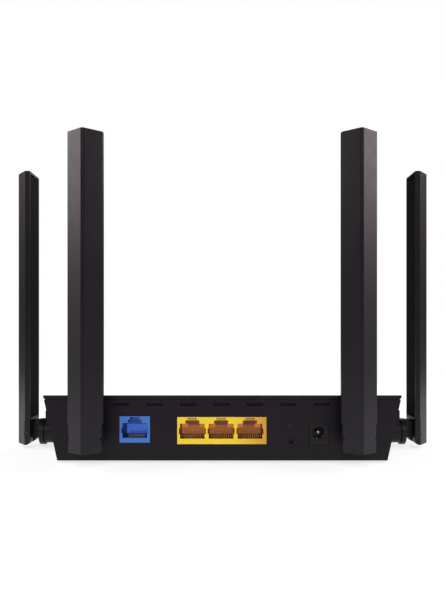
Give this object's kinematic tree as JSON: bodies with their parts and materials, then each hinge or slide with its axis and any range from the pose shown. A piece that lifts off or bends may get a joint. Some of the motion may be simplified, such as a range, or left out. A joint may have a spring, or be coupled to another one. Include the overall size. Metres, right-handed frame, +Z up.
{
  "type": "wireless router",
  "caption": "Low wedge-shaped black wireless router with folding blade antennas, network sockets, power inlet and buttons on its rear wall.",
  "frame": {"origin": "under the middle of the overall box, on the plane of the rubber feet", "axes": "+Z up, -Y out of the rear wall with its sockets, +X to the right when looking at that wall"},
  "size_m": [0.2258, 0.1428, 0.1564],
  "materials": {
    "case_black": "fine textured",
    "cover_black": "satin textured",
    "rubber": "matte",
    "screw_steel": "zinc plated",
    "label": "paper-like film",
    "board_green": "solder resist",
    "chip_black": "moulded epoxy",
    "heat_sink_metal": "extruded",
    "tin_plate": "tin plated",
    "capacitor_sleeve": "shrink sleeve",
    "ferrite": "pressed ferrite",
    "gold": "gold plated",
    "blue_plastic": "moulded",
    "yellow_plastic": "moulded",
    "jack_black": "moulded",
    "pin_steel": "nickel plated",
    "led_white": "clear cap",
    "clear_plastic": "clear",
    "button_black": "satin",
    "antenna_black": "fine textured",
    "antenna_back_black": "satin",
    "knuckle_black": "satin",
    "clip_steel": "blackened spring steel",
    "lead_grey": "jacket"
  },
  "bodies": {
    "housing": {"bottom_case": "case_black", "top_cover": "cover_black", "rubber_feet": "rubber", "case_screws": "screw_steel", "blank_label": "label", "circuit_board": "board_green", "board_screws": "screw_steel", "main_chip": "chip_black", "heat_sink": "heat_sink_metal", "memory_chips": "chip_black", "radio_shields": "tin_plate", "transformers": "chip_black", "capacitors": "capacitor_sleeve", "inductors": "ferrite", "crystal": "tin_plate", "antenna_sockets": "gold", "wan_jack": "blue_plastic", "wan_contacts": "gold", "lan_jack_block": "yellow_plastic", "lan_contacts": "gold", "power_jack": "jack_black", "power_pin": "pin_steel", "pair_switch": "tin_plate", "reset_switch": "chip_black", "status_leds": "led_white", "light_guide": "clear_plastic", "rear_left_lead": "lead_grey", "rear_right_lead": "lead_grey", "side_left_lead": "lead_grey", "side_right_lead": "lead_grey"},
    "pair_key": {"pair_button": "button_black"},
    "reset_key": {"reset_plunger": "button_black"},
    "rear_left_knuckle": {"rear_left_swivel": "knuckle_black", "rear_left_clip": "clip_steel", "rear_left_hinge_pin": "clip_steel"},
    "rear_left_blade": {"rear_left_cover": "antenna_black", "rear_left_back": "antenna_back_black", "rear_left_radiator": "board_green"},
    "rear_right_knuckle": {"rear_right_swivel": "knuckle_black", "rear_right_clip": "clip_steel", "rear_right_hinge_pin": "clip_steel"},
    "rear_right_blade": {"rear_right_cover": "antenna_black", "rear_right_back": "antenna_back_black", "rear_right_radiator": "board_green"},
    "side_left_knuckle": {"side_left_swivel": "knuckle_black", "side_left_clip": "clip_steel", "side_left_hinge_pin": "clip_steel"},
    "side_left_blade": {"side_left_cover": "antenna_black", "side_left_back": "antenna_back_black", "side_left_radiator": "board_green"},
    "side_right_knuckle": {"side_right_swivel": "knuckle_black", "side_right_clip": "clip_steel", "side_right_hinge_pin": "clip_steel"},
    "side_right_blade": {"side_right_cover": "antenna_black", "side_right_back": "antenna_back_black", "side_right_radiator": "board_green"}
  },
  "joints": [
    {"name": "rear_left_turn", "type": "hinge", "parent": "housing", "child": "rear_left_knuckle", "pos_m": [-0.0634, -0.05735, 0.01435], "axis": [0, -1, 0], "range_deg": [-50, 90]},
    {"name": "rear_left_fold", "type": "hinge", "parent": "rear_left_knuckle", "child": "rear_left_blade", "pos_m": [-0.0634, -0.06535, 0.01435], "axis": [-1, 0, 0], "range_deg": [-90, 0]},
    {"name": "rear_right_turn", "type": "hinge", "parent": "housing", "child": "rear_right_knuckle", "pos_m": [0.0634, -0.05735, 0.01435], "axis": [0, 1, 0], "range_deg": [-50, 90]},
    {"name": "rear_right_fold", "type": "hinge", "parent": "rear_right_knuckle", "child": "rear_right_blade", "pos_m": [0.0634, -0.06535, 0.01435], "axis": [-1, 0, 0], "range_deg": [-90, 0]},
    {"name": "side_left_turn", "type": "hinge", "parent": "housing", "child": "side_left_knuckle", "pos_m": [-0.0988, -0.01035, 0.00865], "axis": [-1, 0, 0], "range_deg": [-90, 90]},
    {"name": "side_left_fold", "type": "hinge", "parent": "side_left_knuckle", "child": "side_left_blade", "pos_m": [-0.1068, -0.01035, 0.00865], "axis": [0, 1, 0], "range_deg": [-90, 0]},
    {"name": "side_right_turn", "type": "hinge", "parent": "housing", "child": "side_right_knuckle", "pos_m": [0.0988, -0.01035, 0.00865], "axis": [-1, 0, 0], "range_deg": [-90, 90]},
    {"name": "side_right_fold", "type": "hinge", "parent": "side_right_knuckle", "child": "side_right_blade", "pos_m": [0.1068, -0.01035, 0.00865], "axis": [0, -1, 0], "range_deg": [-90, 0]},
    {"name": "pair_press", "type": "slide", "parent": "housing", "child": "pair_key", "axis": [0, 1, 0], "range_m": [0, 0.0005], "stiffness_N_per_m": 1000, "springref_m": -0.0002},
    {"name": "reset_press", "type": "slide", "parent": "housing", "child": "reset_key", "axis": [0, 1, 0], "range_m": [0, 0.0005], "stiffness_N_per_m": 1000, "springref_m": -0.0002}
  ]
}
